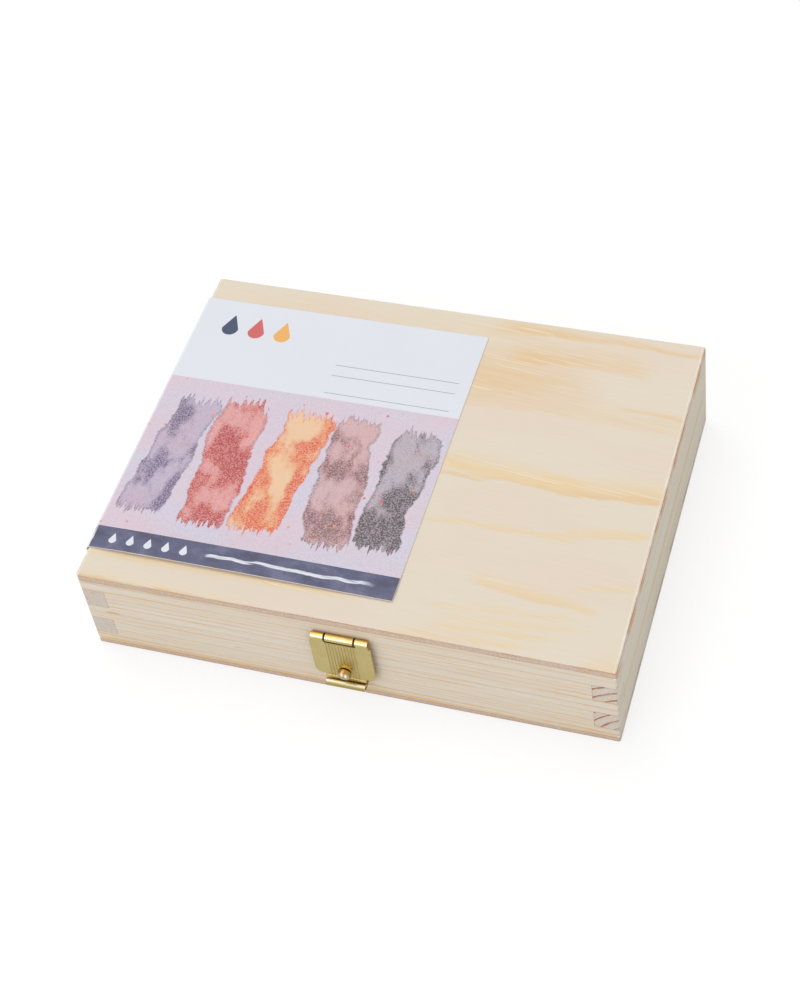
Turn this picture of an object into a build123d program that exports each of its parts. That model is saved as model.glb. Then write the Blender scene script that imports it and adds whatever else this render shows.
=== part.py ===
from build123d import *
import math
import os

# Watercolour paint box. A small pine case with a three-ply top and bottom, glued up as one
# closed box and then sawn open at the seam. Two butt hinges carry the lid at the back and a
# sprung brass hasp shuts it at the front. Four dividers make five bays, with a paint tube in each.
# Millimetres. X is the long side, the front faces -Y, and Z is up from the middle of the underside.

os.makedirs("parts", exist_ok=True)

# Case
case_width = 200.0
case_depth = 153.0
board_thick = 9.0
ply_thick = 4.0
base_wall = 16.0       # height of the boards below the seam
lid_wall = 18.4        # height of the boards above the seam
corner_ease = 0.8      # rounding of the upright corners
panel_ease = 0.75      # rounding of the outer arris of the plywood panels
rim_ease = 0.25        # chamfer that sanding left along the sawn rims

# Finger joints, counted up from the bottom panel
finger_height = 9.0
first_finger = 3.5     # stub of front board under the lowest side finger
saw_kerf = 1.5         # wood that the saw took out at the seam

# Dividers
divider_count = 4
divider_thick = 3.0
dado_depth = 2.0       # how far a divider is let into the front and back boards
divider_drop = 0.5     # top of a divider below the seam
divider_ease = 0.6     # rounding along the top of a divider

# Screws
screw_radius = 1.0
screw_head_radius = 1.9
screw_length = 6.5
screw_point = 1.5      # length of the taper at the tip
screw_clear = 0.03
slot_width = 0.5
slot_depth = 0.45

# Butt hinges on the back
hinge_spread = 120.0   # between the middles of the two hinges
hinge_width = 20.0
hinge_leaf = 9.5       # from the pin to the end of a leaf
hinge_sheet = 0.9
hinge_pin_radius = 0.9
hinge_wall = 0.8       # wall of a knuckle round the pin
hinge_middle = 7.0     # length of the lid leaf's knuckle
hinge_off = 0.15       # knuckle clear of the back board
hinge_screw_pitch = 11.0
hinge_screw_rise = 6.0
sheet_corner = 1.5     # rounding of the corners of the hinge and latch leaves

# Hasp, latch leaf and catch on the front
latch_x = 0.6          # the latch sits a little right of the middle
latch_sheet = 0.6
latch_width = 22.8     # hasp plate
latch_row = 21.2       # the three knuckles and their gaps
latch_rise = 14.2      # hasp pin above the seam
latch_pin_radius = 0.8
latch_off = 0.15       # hasp knuckle clear of the front board
latch_middle = 10.7    # length of the latch leaf's knuckle
knuckle_gap = 0.4      # between neighbouring knuckles
running_clear = 0.05   # pin to knuckle, on the radius
hasp_out = 1.9         # back of the hasp plate from the front board
hasp_drop = 21.6       # from the pin to where the tongue starts to curl
hasp_notch = 2.05      # hasp plate cut back below the middle knuckle
hasp_shoulder = 2.1    # top of the plate's shoulders below the pin
hasp_corner = 3.0
tongue_width = 15.2
tongue_bend = 0.9
tongue_angle = 65.0
tongue_tail = 0.4
flute_count = 10
flute_pitch = 1.15
flute_width = 0.45
flute_depth = 0.15
leaf_width = 19.0
leaf_bottom = 1.2      # lower edge of the latch leaf above the seam
leaf_screw_pitch = 10.0
leaf_screw_rise = 6.4  # screws of the latch leaf above the seam
catch_width = 14.9
catch_gap = 0.25       # tongue above the catch roll
catch_roll = 1.1       # mean radius of the rolled lip
catch_reach = 3.95     # middle of the roll from the front board
catch_bend = 1.2
catch_top = 1.5        # upper edge of the catch below the seam
catch_screw_pitch = 9.0
catch_screw_drop = 6.5 # screws of the catch below the seam

# Knob riveted to the hasp
knob_drop = 16.5       # below the hasp pin
knob_shift = 0.6       # to the right of the plate's middle
knob_rivet_radius = 1.0
knob_back_radius = 1.6
knob_back = 0.4
knob_collar_radius = 2.3
knob_collar = 1.2
knob_neck_radius = 1.6
knob_neck = 0.6
knob_head_radius = 2.6 # at the neck, from where the head tapers
knob_face_radius = 2.25
knob_head = 2.0
knob_dome = 0.5

# Printed card folded over the left edge of the lid
card_thick = 0.4
card_reach = 16.8      # right edge of the card, from the middle of the lid
card_depth = 129.0
card_shift = 0.3       # middle of the card behind the middle of the lid
card_stand = 0.8       # flap clear of the left boards
card_fold = 1.6
card_flap_end = 2.0    # lower edge of the flap above the seam

# Paint tubes, lying on the bottom panel with their caps to the front
tube_radius = 9.5
tube_lift = 0.2
tube_front_gap = 1.5   # cap clear of the front board
tube_straight = 24.0   # round length behind the shoulder
tube_taper = 52.0      # length over which the tube flattens
tube_crimp = 8.0       # length of the folded end
tube_crimp_thick = 2.0
tube_end_thick = 1.6   # where the taper meets the fold
tube_shoulder = 3.5
tube_neck_radius = 4.6
tube_nozzle_radius = 1.8
tube_nozzle_depth = 6.0
cap_length = 14.0
cap_base_radius = 8.0
cap_top_radius = 7.3
cap_wall = 2.5         # thickness of the cap's end
cap_clear = 0.1
cap_gap = 0.4          # cap clear of the shoulder
cap_flutes = 16
cap_flute_radius = 0.9
cap_flute_depth = 0.6  # at the wide end, fading out towards the closed end
cap_edge = 0.8         # rounding of the closed end

# Worked out from the sizes above
front_y = -case_depth / 2
back_y = case_depth / 2
seam_z = ply_thick + base_wall
lid_top_wall = seam_z + lid_wall
case_height = lid_top_wall + ply_thick
inner_width = case_width - 2 * board_thick
inner_depth = case_depth - 2 * board_thick
bay_count = divider_count + 1
bay_width = (inner_width - divider_count * divider_thick) / bay_count
bay_pitch = bay_width + divider_thick
head_height = screw_head_radius - screw_radius

hinge_knuckle = hinge_pin_radius + running_clear + hinge_wall
hinge_axis_y = back_y + hinge_off + hinge_knuckle
hinge_places = {"left": -hinge_spread / 2, "right": hinge_spread / 2}

latch_bore = latch_pin_radius + running_clear
latch_knuckle = latch_bore + latch_sheet
latch_axis_out = latch_off + latch_knuckle
latch_axis_z = seam_z + latch_rise
hasp_mid = hasp_out + latch_sheet / 2
curl_z = latch_axis_z - hasp_drop
curl = math.radians(tongue_angle)
tongue_low = (curl_z - (tongue_bend + latch_sheet / 2) * math.sin(curl)
              - tongue_tail * math.cos(curl))
roll_z = tongue_low - catch_gap - catch_roll - latch_sheet / 2
catch_top_z = seam_z - catch_top
knob_x = latch_x + knob_shift
knob_z = latch_axis_z - knob_drop

tube_z = ply_thick + tube_lift + tube_radius
cap_front_y = front_y + board_thick + tube_front_gap
cap_back_y = cap_front_y + cap_length
shoulder_front_y = cap_back_y + cap_gap
shoulder_back_y = shoulder_front_y + tube_shoulder
taper_y = shoulder_back_y + tube_straight
crimp_y = taper_y + tube_taper
crimp_width = math.pi * tube_radius   # a flattened tube is half its circumference wide
neck_front_y = cap_front_y + cap_wall + cap_gap


def save(part, name):
    part.label = name
    export_step(part, f"parts/{name}.step")


def front_plane(x, z, out):
    """Faces the front, its origin a distance out from the front board."""
    return Plane(origin=(x, front_y - out, z), x_dir=(1, 0, 0), z_dir=(0, -1, 0))


def back_plane(x, z, out):
    """Faces the back, its origin a distance out from the back board."""
    return Plane(origin=(x, back_y + out, z), x_dir=(-1, 0, 0), z_dir=(0, 1, 0))


def latch_section(x, z=0):
    """Cross-section of the latch: local x is out from the front board and local y is up."""
    return Plane(origin=(x, front_y, z), x_dir=(0, -1, 0), z_dir=(-1, 0, 0))


def hinge_section(x):
    """Cross-section of a hinge: local x is out from the back board and local y is up."""
    return Plane(origin=(x, back_y, 0), x_dir=(0, 1, 0), z_dir=(1, 0, 0))


def tube_section(x, y):
    """Across a paint tube, facing its folded end."""
    return Plane(origin=(x, y, tube_z), x_dir=(1, 0, 0), z_dir=(0, 1, 0))


def hinge_seats(side):
    """Where the hinge screws go in: below the pins for side -1, above them for side 1."""
    z = seam_z + side * hinge_screw_rise
    offsets = (-hinge_screw_pitch / 2, hinge_screw_pitch / 2)
    return [back_plane(x + dx, z, hinge_sheet) for x in hinge_places.values() for dx in offsets]


def latch_seats(pitch, z):
    """Where a pair of latch screws goes in, side by side."""
    return [front_plane(latch_x + dx, z, latch_sheet) for dx in (-pitch / 2, pitch / 2)]


leaf_seats = latch_seats(leaf_screw_pitch, seam_z + leaf_screw_rise)
catch_seats = latch_seats(catch_screw_pitch, seam_z - catch_screw_drop)


def screw_holes(seats):
    """Countersunk holes through a sheet and on into the board behind it."""
    with Locations(*seats):
        CounterSinkHole(screw_radius + screw_clear, screw_head_radius + screw_clear,
                        depth=screw_length + screw_clear, counter_sink_angle=90)


def make_screws(name, seats):
    """Equal slotted countersunk screws, one at each seat."""
    shank = screw_length - screw_point
    top = (Align.CENTER, Align.CENTER, Align.MAX)
    with BuildPart() as screws:
        with Locations(*seats):
            Cylinder(screw_radius, shank, align=top)
            Cone(screw_radius, screw_head_radius, head_height, align=top)
            Box(3 * screw_head_radius, slot_width, slot_depth, align=top, mode=Mode.SUBTRACT)
        with Locations(*[seat.offset(-shank) for seat in seats]):
            Cone(screw_radius / 4, screw_radius, screw_point, align=top)
    save(screws.part, name)


# Boards
def finger_spans(bottom, top, lost):
    """Heights at which the side boards' fingers reach the front, between bottom and top."""
    spans = []
    low = ply_thick + first_finger - lost
    while low < top:
        span = (max(low, bottom), min(low + finger_height, top))
        if span[1] > span[0]:
            spans.append(span)
        low += 2 * finger_height
    return spans


def gaps_between(spans, bottom, top):
    """Heights between the side fingers, where the front and back boards reach the corner."""
    edges = [bottom] + [height for span in spans for height in span] + [top]
    pairs = zip(edges[::2], edges[1::2])
    return [pair for pair in pairs if pair[1] > pair[0]]


def on_outline(edge):
    middle = edge.center()
    return (abs(middle.X) > case_width / 2 - corner_ease
            or abs(middle.Y) > case_depth / 2 - corner_ease)


def make_board(name, middle, size, bottom, top, notches, seats=(), dadoed=False):
    """A board cut from the eased outline, notched at the corners, dadoed and drilled."""
    with BuildPart() as board:
        with BuildSketch(Plane.XY.offset(bottom)):
            RectangleRounded(case_width, case_depth, corner_ease)
            with Locations(middle):
                Rectangle(*size, mode=Mode.INTERSECT)
        extrude(amount=top - bottom)
        for low, high in notches:
            with BuildSketch(Plane.XY.offset(low)):
                with GridLocations(case_width - board_thick, case_depth - board_thick, 2, 2):
                    Rectangle(board_thick, board_thick)
            extrude(amount=high - low, mode=Mode.SUBTRACT)
        rim = board.edges().filter_by_position(Axis.Z, seam_z, seam_z).filter_by(on_outline)
        chamfer(rim, rim_ease)
        if dadoed:
            dado_y = math.copysign((inner_depth + dado_depth) / 2, middle[1])
            with BuildSketch(Plane.XY.offset(bottom)):
                with Locations((0, dado_y)):
                    with GridLocations(bay_pitch, 0, divider_count, 1):
                        Rectangle(divider_thick, dado_depth)
            extrude(amount=top - bottom, mode=Mode.SUBTRACT)
        if seats:
            screw_holes(seats)
    save(board.part, name)


def make_frame(half, bottom, top, lost, front_seats, back_seats):
    """The four boards of one half of the case."""
    fingers = finger_spans(bottom, top, lost)
    gaps = gaps_between(fingers, bottom, top)
    long_size = (case_width, board_thick)
    short_size = (board_thick, case_depth)
    mid_x = (case_width - board_thick) / 2
    mid_y = (case_depth - board_thick) / 2
    dadoed = half == "base"
    make_board(f"{half}_front_board", (0, -mid_y), long_size, bottom, top, fingers,
               front_seats, dadoed)
    make_board(f"{half}_back_board", (0, mid_y), long_size, bottom, top, fingers,
               back_seats, dadoed)
    make_board(f"{half}_left_board", (-mid_x, 0), short_size, bottom, top, gaps)
    make_board(f"{half}_right_board", (mid_x, 0), short_size, bottom, top, gaps)


make_frame("base", ply_thick, seam_z, 0, catch_seats, hinge_seats(-1))
make_frame("lid", seam_z, lid_top_wall, saw_kerf, leaf_seats, hinge_seats(1))


# Plywood panels
def make_panel(name, bottom, outer_face):
    with BuildPart() as panel:
        with BuildSketch(Plane.XY.offset(bottom)):
            RectangleRounded(case_width, case_depth, corner_ease)
        extrude(amount=ply_thick)
        fillet(panel.faces().sort_by(Axis.Z)[outer_face].edges(), panel_ease)
    save(panel.part, name)


make_panel("bottom_panel", 0, 0)
make_panel("lid_panel", lid_top_wall, -1)


# Dividers
divider_height = base_wall - divider_drop
for number in range(divider_count):
    x = (number - (divider_count - 1) / 2) * bay_pitch
    with BuildPart() as divider:
        with BuildSketch(Plane.XY.offset(ply_thick)):
            with Locations((x, 0)):
                Rectangle(divider_thick, inner_depth + 2 * dado_depth)
        extrude(amount=divider_height)
        top_edges = divider.faces().sort_by(Axis.Z)[-1].edges().filter_by(Axis.Y)
        fillet(top_edges, divider_ease)
    save(divider.part, f"divider_{number + 1}")


# Hinges on the back
def hinge_knuckle_sketch(side, tab):
    """Ring round the pin and the tab that joins it to its leaf."""
    with Locations((hinge_axis_y - back_y, seam_z)):
        Circle(hinge_knuckle)
    with Locations((hinge_sheet / 2, seam_z + side * tab / 2)):
        Rectangle(hinge_sheet, tab)
    with Locations((hinge_axis_y - back_y, seam_z)):
        Circle(hinge_pin_radius + running_clear, mode=Mode.SUBTRACT)


def make_hinge_leaf(name, x, side):
    """A leaf below the pin for side -1, which has the two outer knuckles, or above it for 1."""
    tab = hinge_knuckle + knuckle_gap
    outer = (hinge_width - hinge_middle) / 2 - knuckle_gap
    if side < 0:
        knuckles = [(x - hinge_width / 2, outer), (x + hinge_width / 2 - outer, outer)]
    else:
        knuckles = [(x - hinge_middle / 2, hinge_middle)]
    with BuildPart() as leaf:
        with BuildSketch(back_plane(x, seam_z, 0)):
            with Locations((0, side * (tab + hinge_leaf) / 2)):
                Rectangle(hinge_width, hinge_leaf - tab)
        extrude(amount=hinge_sheet)
        far_end = leaf.edges().filter_by(Axis.Y).group_by(Axis.Z)[0 if side < 0 else -1]
        fillet(far_end, sheet_corner)
        for left, length in knuckles:
            with BuildSketch(hinge_section(left)):
                hinge_knuckle_sketch(side, tab)
            extrude(amount=length)
        screw_holes([seat for seat in hinge_seats(side) if abs(seat.origin.X - x) < hinge_width])
    save(leaf.part, name)


for place, x in hinge_places.items():
    make_hinge_leaf(f"base_hinge_leaf_{place}", x, -1)
    make_hinge_leaf(f"lid_hinge_leaf_{place}", x, 1)
    with BuildPart() as hinge_pin:
        with BuildSketch(hinge_section(x)):
            with Locations((hinge_axis_y - back_y, seam_z)):
                Circle(hinge_pin_radius)
        extrude(amount=hinge_width / 2, both=True)
    save(hinge_pin.part, f"hinge_pin_{place}")

make_screws("base_hinge_screws", hinge_seats(-1))
make_screws("lid_hinge_screws", hinge_seats(1))


# Latch leaf on the lid, behind the hasp
plate_top = latch_rise - latch_knuckle - knuckle_gap
with BuildPart() as latch_leaf:
    with BuildSketch(front_plane(latch_x, seam_z, 0)):
        with Locations((0, (leaf_bottom + plate_top) / 2)):
            RectangleRounded(leaf_width, plate_top - leaf_bottom, sheet_corner)
        with Locations((0, (plate_top + latch_rise) / 2)):
            Rectangle(latch_middle, latch_rise - plate_top)
    extrude(amount=latch_sheet)
    with BuildSketch(latch_section(latch_x)):
        with Locations((latch_axis_out, latch_axis_z)):
            Circle(latch_knuckle)
    extrude(amount=latch_middle / 2, both=True)
    with BuildSketch(latch_section(latch_x)):
        with Locations((latch_axis_out, latch_axis_z)):
            Circle(latch_bore)
    extrude(amount=latch_middle / 2, both=True, mode=Mode.SUBTRACT)
    screw_holes(leaf_seats)
save(latch_leaf.part, "latch_leaf")

with BuildPart() as latch_pin:
    with BuildSketch(latch_section(latch_x)):
        with Locations((latch_axis_out, latch_axis_z)):
            Circle(latch_pin_radius)
    extrude(amount=latch_row / 2 - knuckle_gap, both=True)
save(latch_pin.part, "latch_pin")
make_screws("latch_screws", leaf_seats)


# Hasp plate: outer knuckles, fluted plate and curled tongue
def tongue_line(shift):
    """The plate's line down into the curled tongue, shifted outwards from the sheet's middle."""
    drop = Line((hasp_mid + shift, latch_axis_z - hasp_notch), (hasp_mid + shift, curl_z))
    bend = JernArc(drop @ 1, (0, -1), tongue_bend - shift, tongue_angle)
    PolarLine(bend @ 1, tongue_tail, direction=bend % 1)


outer_length = (latch_row - latch_middle) / 2 - knuckle_gap
outer_middle = (latch_row - outer_length) / 2
shoulder_height = hasp_drop - hasp_shoulder
with BuildPart() as hasp_plate:
    with BuildSketch(front_plane(latch_x, curl_z, hasp_out)) as plate_face:
        with Locations((0, shoulder_height / 2)):
            Rectangle(latch_width, shoulder_height)
        fillet(plate_face.vertices().group_by(Axis.Y)[0], hasp_corner)
        with Locations((0, hasp_drop - shoulder_height / 2)):
            Rectangle(latch_row, shoulder_height)
        with Locations((0, hasp_drop - hasp_notch / 2)):
            Rectangle(latch_middle + 2 * knuckle_gap, hasp_notch, mode=Mode.SUBTRACT)
    extrude(amount=latch_sheet)
    for x in (latch_x - outer_middle, latch_x + outer_middle):
        with BuildSketch(latch_section(x)):
            with Locations((latch_axis_out, latch_axis_z)):
                Circle(latch_knuckle)
        extrude(amount=outer_length / 2, both=True)
    with BuildSketch(latch_section(latch_x)):
        with Locations((latch_axis_out, latch_axis_z)):
            Circle(latch_bore)
    extrude(amount=latch_width, both=True, mode=Mode.SUBTRACT)
    with BuildSketch(latch_section(latch_x)):
        with BuildLine():
            tongue_line(0)
        trace(line_width=latch_sheet)
    extrude(amount=tongue_width / 2, both=True)
    for number in range(flute_count):
        x = latch_x + (number - (flute_count - 1) / 2) * flute_pitch
        with BuildSketch(latch_section(x)):
            with BuildLine():
                tongue_line(latch_sheet / 2)
            trace(line_width=2 * flute_depth)
        extrude(amount=flute_width / 2, both=True, mode=Mode.SUBTRACT)
    with Locations(front_plane(knob_x, knob_z, hasp_out + latch_sheet)):
        Hole(knob_rivet_radius + screw_clear, depth=2 * latch_sheet)
save(hasp_plate.part, "hasp_plate")

# Knob: rivet head behind the plate, shank, collar, neck and tapered head with a low dome
with BuildPart() as hasp_knob:
    with BuildSketch(latch_section(knob_x, knob_z)):
        with BuildLine():
            back = hasp_out - knob_back
            face = hasp_out + latch_sheet
            neck = face + knob_collar
            head = neck + knob_neck
            tip = head + knob_head
            rim = Polyline((back, 0), (back, knob_back_radius), (hasp_out, knob_back_radius),
                           (hasp_out, knob_rivet_radius), (face, knob_rivet_radius),
                           (face, knob_collar_radius), (neck, knob_collar_radius),
                           (neck, knob_neck_radius), (head, knob_neck_radius),
                           (head, knob_head_radius), (tip - knob_dome, knob_face_radius))
            TangentArc((tip, 0), rim @ 1, tangent=(0, 1))
            Line((tip, 0), (back, 0))
        make_face()
    revolve(axis=Axis((knob_x, front_y, knob_z), (0, -1, 0)))
save(hasp_knob.part, "hasp_knob")

# Catch: a plate on the base that turns out into a rolled lip under the tongue
with BuildPart() as catch_plate:
    with BuildSketch(latch_section(latch_x)):
        with BuildLine():
            foot_z = roll_z - catch_roll
            fall = Line((latch_sheet / 2, catch_top_z), (latch_sheet / 2, foot_z + catch_bend))
            turn = JernArc(fall @ 1, (0, -1), catch_bend, 90)
            run = Line(turn @ 1, (catch_reach, foot_z))
            JernArc(run @ 1, (1, 0), catch_roll, 270)
        trace(line_width=latch_sheet)
    extrude(amount=catch_width / 2, both=True)
    upper = catch_plate.edges().filter_by(Axis.Y).group_by(Axis.Z)[-1]
    fillet(upper, sheet_corner)
    screw_holes(catch_seats)
save(catch_plate.part, "catch_plate")
make_screws("catch_screws", catch_seats)

# Card: lies on the lid panel and folds down over the left side
with BuildPart() as label_card:
    card_plane = Plane(origin=(0, card_shift, 0), x_dir=(1, 0, 0), z_dir=(0, -1, 0))
    with BuildSketch(card_plane):
        with BuildLine():
            top_z = case_height + card_thick / 2
            flap_x = -case_width / 2 - card_stand - card_thick / 2
            flat = Line((card_reach, top_z), (flap_x + card_fold, top_z))
            fold = JernArc(flat @ 1, (-1, 0), card_fold, 90)
            Line(fold @ 1, (flap_x, seam_z + card_flap_end))
        trace(line_width=card_thick)
    extrude(amount=card_depth / 2, both=True)
save(label_card.part, "label_card")


# Paint tubes and their caps
def make_tube(name, x):
    """A filled tube: neck with its nozzle, shoulder, round body, taper and folded end."""
    with BuildPart() as tube:
        with BuildSketch(tube_section(x, shoulder_back_y)):
            Circle(tube_radius)
        extrude(amount=tube_straight)
        with BuildSketch(tube_section(x, taper_y)):
            Circle(tube_radius)
        with BuildSketch(tube_section(x, crimp_y)):
            Ellipse(crimp_width / 2, tube_end_thick / 2)
        loft(ruled=True)
        with BuildSketch(tube_section(x, crimp_y)):
            RectangleRounded(crimp_width, tube_crimp_thick, tube_crimp_thick / 3)
        extrude(amount=tube_crimp)
        with BuildSketch(tube_section(x, shoulder_back_y)):
            Circle(tube_radius)
        with BuildSketch(tube_section(x, shoulder_front_y)):
            Circle(tube_neck_radius)
        loft(ruled=True)
        with BuildSketch(tube_section(x, shoulder_front_y)):
            Circle(tube_neck_radius)
        extrude(amount=neck_front_y - shoulder_front_y)
        with BuildSketch(tube_section(x, neck_front_y)):
            Circle(tube_nozzle_radius)
        extrude(amount=tube_nozzle_depth, mode=Mode.SUBTRACT)
    save(tube.part, name)


def make_cap(name, x):
    """A tapered screw cap with grip flutes and a bore over the tube's neck."""
    with BuildPart() as cap:
        with BuildSketch(tube_section(x, cap_front_y)):
            Circle(cap_top_radius)
        with BuildSketch(tube_section(x, cap_back_y)):
            Circle(cap_base_radius)
        loft(ruled=True)
        fillet(cap.faces().sort_by(Axis.Y)[0].edges(), cap_edge)
        with BuildSketch(tube_section(x, cap_front_y)):
            with PolarLocations(cap_base_radius + cap_flute_radius - cap_flute_depth, cap_flutes):
                Circle(cap_flute_radius)
        extrude(amount=cap_length, mode=Mode.SUBTRACT)
        with BuildSketch(tube_section(x, cap_back_y)):
            Circle(tube_neck_radius + cap_clear)
        extrude(amount=cap_wall - cap_length, mode=Mode.SUBTRACT)
    save(cap.part, name)


for number in range(bay_count):
    x = (number - (bay_count - 1) / 2) * bay_pitch
    make_tube(f"paint_tube_{number + 1}", x)
    make_cap(f"cap_{number + 1}", x)
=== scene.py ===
"""Looks of a wooden box of watercolours: pine and plywood case, brass latch, printed card, tubes."""

import math

import bpy
from mathutils import Matrix, Vector, noise


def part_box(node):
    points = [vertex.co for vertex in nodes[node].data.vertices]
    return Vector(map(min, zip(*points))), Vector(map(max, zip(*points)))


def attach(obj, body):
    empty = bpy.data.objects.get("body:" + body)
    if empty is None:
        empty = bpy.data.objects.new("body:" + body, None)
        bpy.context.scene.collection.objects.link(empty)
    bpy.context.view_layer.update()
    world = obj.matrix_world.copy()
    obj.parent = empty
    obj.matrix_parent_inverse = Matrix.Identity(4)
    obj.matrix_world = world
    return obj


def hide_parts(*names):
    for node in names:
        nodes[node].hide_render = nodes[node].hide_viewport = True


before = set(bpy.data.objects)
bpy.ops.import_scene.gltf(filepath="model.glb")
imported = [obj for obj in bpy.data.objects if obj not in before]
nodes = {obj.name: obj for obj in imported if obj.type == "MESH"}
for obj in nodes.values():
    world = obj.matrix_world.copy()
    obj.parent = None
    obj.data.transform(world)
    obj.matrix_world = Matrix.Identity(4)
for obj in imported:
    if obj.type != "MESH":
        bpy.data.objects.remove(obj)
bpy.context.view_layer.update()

mm = 0.001
# Where most of a noise's values lie, and where a normal's part makes a face look that way
noise_middle = (0.3, 0.7)
facing_range = (0.6, 0.8)

# Case sizes that the finishes follow, in millimetres
board_thick = 9
case_low, case_high = (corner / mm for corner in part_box("lid_panel"))
case_half_x = (case_high.x - case_low.x) / 2
case_half_y = (case_high.y - case_low.y) / 2
lid_ply_bottom = case_low.z
finger_spans = ((7.5, 16.5), (24, 33))


# Colours
def shade(red, green, blue):
    """A colour given as it shows on a screen, 0 to 255, in the shader's own linear values."""
    channels = [part / 255 for part in (red, green, blue)]
    linear = [c / 12.92 if c <= 0.04045 else ((c + 0.055) / 1.055) ** 2.4 for c in channels]
    return (*linear, 1)


# Shader building
def give(socket, value):
    """Sets a socket to a plain value or links it to another node's output."""
    if isinstance(value, bpy.types.NodeSocket):
        socket.id_data.links.new(value, socket)
    else:
        socket.default_value = value


def add(tree, kind, inputs=None, **settings):
    """A shader node with its settings, and its inputs given by name or by number."""
    made = tree.nodes.new(kind)
    for name, value in settings.items():
        setattr(made, name, value)
    for name, value in (inputs or {}).items():
        give(made.inputs[name], value)
    return made


def wired(kind, inputs, **settings):
    """A node in the tree that the first socket among its inputs belongs to."""
    sockets = [value for value in inputs.values() if isinstance(value, bpy.types.NodeSocket)]
    return add(sockets[0].id_data, kind, inputs, **settings)


def maths(operation, *values):
    return wired("ShaderNodeMath", dict(enumerate(values)), operation=operation).outputs[0]


def vector_maths(operation, *values):
    return wired("ShaderNodeVectorMath", dict(enumerate(values)), operation=operation).outputs[0]


def chain(operation, values):
    result = values[0]
    for value in values[1:]:
        result = maths(operation, result, value)
    return result


def times(*values):
    return chain("MULTIPLY", values)


def plus(*values):
    return chain("ADD", values)


def minus(first, second):
    return maths("SUBTRACT", first, second)


def divided(first, second):
    return maths("DIVIDE", first, second)


def larger(*values):
    return chain("MAXIMUM", values)


def smaller(first, second):
    return maths("MINIMUM", first, second)


def unsigned(value):
    return maths("ABSOLUTE", value)


def apart(first, second):
    """How far two values lie from each other."""
    return unsigned(minus(first, second))


def squares(first, second):
    return plus(times(first, first), times(second, second))


def is_over(value, level):
    return maths("GREATER_THAN", value, level)


def is_under(value, level):
    return maths("LESS_THAN", value, level)


def is_inside(value, low, high):
    return times(is_over(value, low), is_under(value, high))


def dot(first, second):
    return wired("ShaderNodeVectorMath", {0: first, 1: second}, operation="DOT_PRODUCT").outputs[1]


def between(value, low, high, out_low=0, out_high=1):
    """value, moved from the range low to high to another range, with soft ends."""
    inputs = {"Value": value, "From Min": low, "From Max": high, "To Min": out_low, "To Max": out_high}
    return wired("ShaderNodeMapRange", inputs, interpolation_type="SMOOTHSTEP").outputs[0]


def fading(value, low, high, share=1):
    """share where value is under low, and nothing where it is over high."""
    return between(value, low, high, share, 0)


def window(value, rise, fall):
    """1 from the end of rise to the start of fall, with a soft change across each of them."""
    return times(between(value, *rise), fading(value, *fall))


def blend(share, first, second, kind="MIX"):
    """first turning into second by share."""
    inputs = {0: share, 6: first, 7: second}
    return wired("ShaderNodeMix", inputs, data_type="RGBA", blend_type=kind).outputs[2]


def split(vector):
    """The three parts of a vector."""
    return wired("ShaderNodeSeparateXYZ", {0: vector}).outputs


def join(x, y, z):
    return wired("ShaderNodeCombineXYZ", {0: x, 1: y, 2: z}).outputs[0]


def darkened(colour, shares):
    """colour with its red, green and blue brought down to these shares."""
    return blend(1.0, colour, join(*shares), "MULTIPLY")


def cloud(place, stretch, seed, detail=2, rough=0.5):
    """Noise of 0 to 1, with so many lumps a millimetre along each direction."""
    scaled = vector_maths("MULTIPLY", place, stretch)
    moved = vector_maths("ADD", scaled, (seed * 7.3, seed * 3.1, seed * 5.7))
    inputs = {"Vector": moved, "Scale": 1, "Detail": detail, "Roughness": rough}
    return wired("ShaderNodeTexNoise", inputs).outputs[0]


def swing(place, stretch, seed, detail=2, rough=0.5):
    """Noise that swings round zero, by at most a half each way."""
    return minus(cloud(place, stretch, seed, detail, rough), 0.5)


def new_group(name, inputs, outputs):
    """An empty node group, the sockets that bring values in and those that take them out."""
    tree = bpy.data.node_groups.new(name, "ShaderNodeTree")
    for label, default in inputs.items():
        kind = "Vector" if default is None else "Float"
        if isinstance(default, tuple):
            kind = "Color"
        socket = tree.interface.new_socket(label, in_out="INPUT", socket_type="NodeSocket" + kind)
        if default is not None:
            socket.default_value = default
    for label, kind in outputs.items():
        tree.interface.new_socket(label, in_out="OUTPUT", socket_type="NodeSocket" + kind)
    source = tree.nodes.new("NodeGroupInput")
    target = tree.nodes.new("NodeGroupOutput")
    return tree, source.outputs, target.inputs


def use_group(group, inputs):
    return wired("ShaderNodeGroup", inputs, node_tree=group).outputs


def graded(value, stops):
    """Colours that follow each other as value rises: where each is reached, and the colour."""
    colour = shade(*stops[0][1])
    for (low, _), (high, after) in zip(stops, stops[1:]):
        colour = blend(between(value, low, high), colour, shade(*after))
    return colour


def on_object(tree):
    """Places on the object, in millimetres, and its normals."""
    spot = add(tree, "ShaderNodeTexCoord").outputs
    return vector_maths("MULTIPLY", spot["Object"], (1 / mm, 1 / mm, 1 / mm)), spot["Normal"]


def new_material(name):
    """A material, its Principled shader, and places and normals on the object."""
    material = bpy.data.materials.new(name)
    material.use_nodes = True
    tree = material.node_tree
    return material, tree.nodes["Principled BSDF"], *on_object(tree)


def rounded_normal(tree, radius, samples=4):
    """The normal as if edges were rounded by radius, in millimetres."""
    return add(tree, "ShaderNodeBevel", {"Radius": radius * mm}, samples=samples).outputs[0]


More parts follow.
